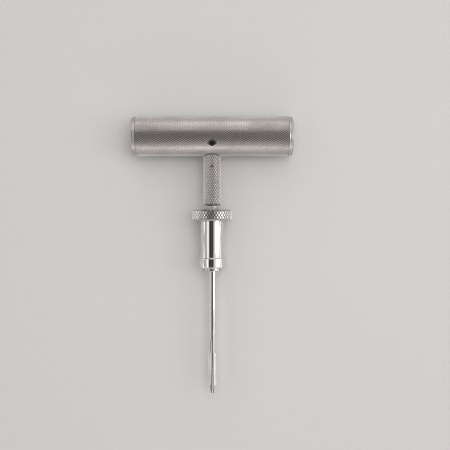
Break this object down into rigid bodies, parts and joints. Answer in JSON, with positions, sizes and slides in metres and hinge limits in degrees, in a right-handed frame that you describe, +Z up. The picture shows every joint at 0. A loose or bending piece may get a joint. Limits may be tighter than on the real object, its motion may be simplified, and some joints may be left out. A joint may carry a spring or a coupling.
{
  "type": "tyre plug insertion tool",
  "caption": "T-handled split-eye needle for pushing string plugs into a tyre, with a knurled bar grip and a chromed collar that slides and turns on the shank.",
  "frame": {"origin": "where the grip bar's axis crosses the needle's axis, at the middle of the grip", "axes": "+X along the grip bar, -Y along the needle towards its tip, +Z up when the tool lies on a table"},
  "size_m": [0.097, 0.1673, 0.024],
  "materials": {
    "knurled_steel": "satin plated, knurled",
    "cap_steel": "satin turned",
    "pin_steel": "ground",
    "needle_steel": "polished",
    "collar_chrome": "mirror",
    "bush_steel": "turned",
    "ring_rubber": "matt"
  },
  "bodies": {
    "tool": {"grip_tube": "knurled_steel", "grip_end_cap_left": "cap_steel", "grip_end_cap_right": "cap_steel", "grip_cross_pin": "pin_steel", "stem": "knurled_steel", "needle_lock_pin": "pin_steel", "nose_ferrule": "cap_steel", "needle": "needle_steel"},
    "slider": {"collar_friction_ring": "ring_rubber"},
    "collar": {"collar_thumb_ring": "collar_chrome", "collar_sleeve": "collar_chrome", "collar_foot_ring": "collar_chrome", "collar_upper_bush": "bush_steel", "collar_lower_bush": "bush_steel"}
  },
  "joints": [
    {"name": "collar_slide", "type": "slide", "parent": "tool", "child": "slider", "axis": [0, -1, 0], "range_m": [0, 0.049]},
    {"name": "collar_turn", "type": "hinge", "parent": "slider", "child": "collar", "pos_m": [0, -0.05, 0], "axis": [0, 1, 0], "continuous": true}
  ]
}
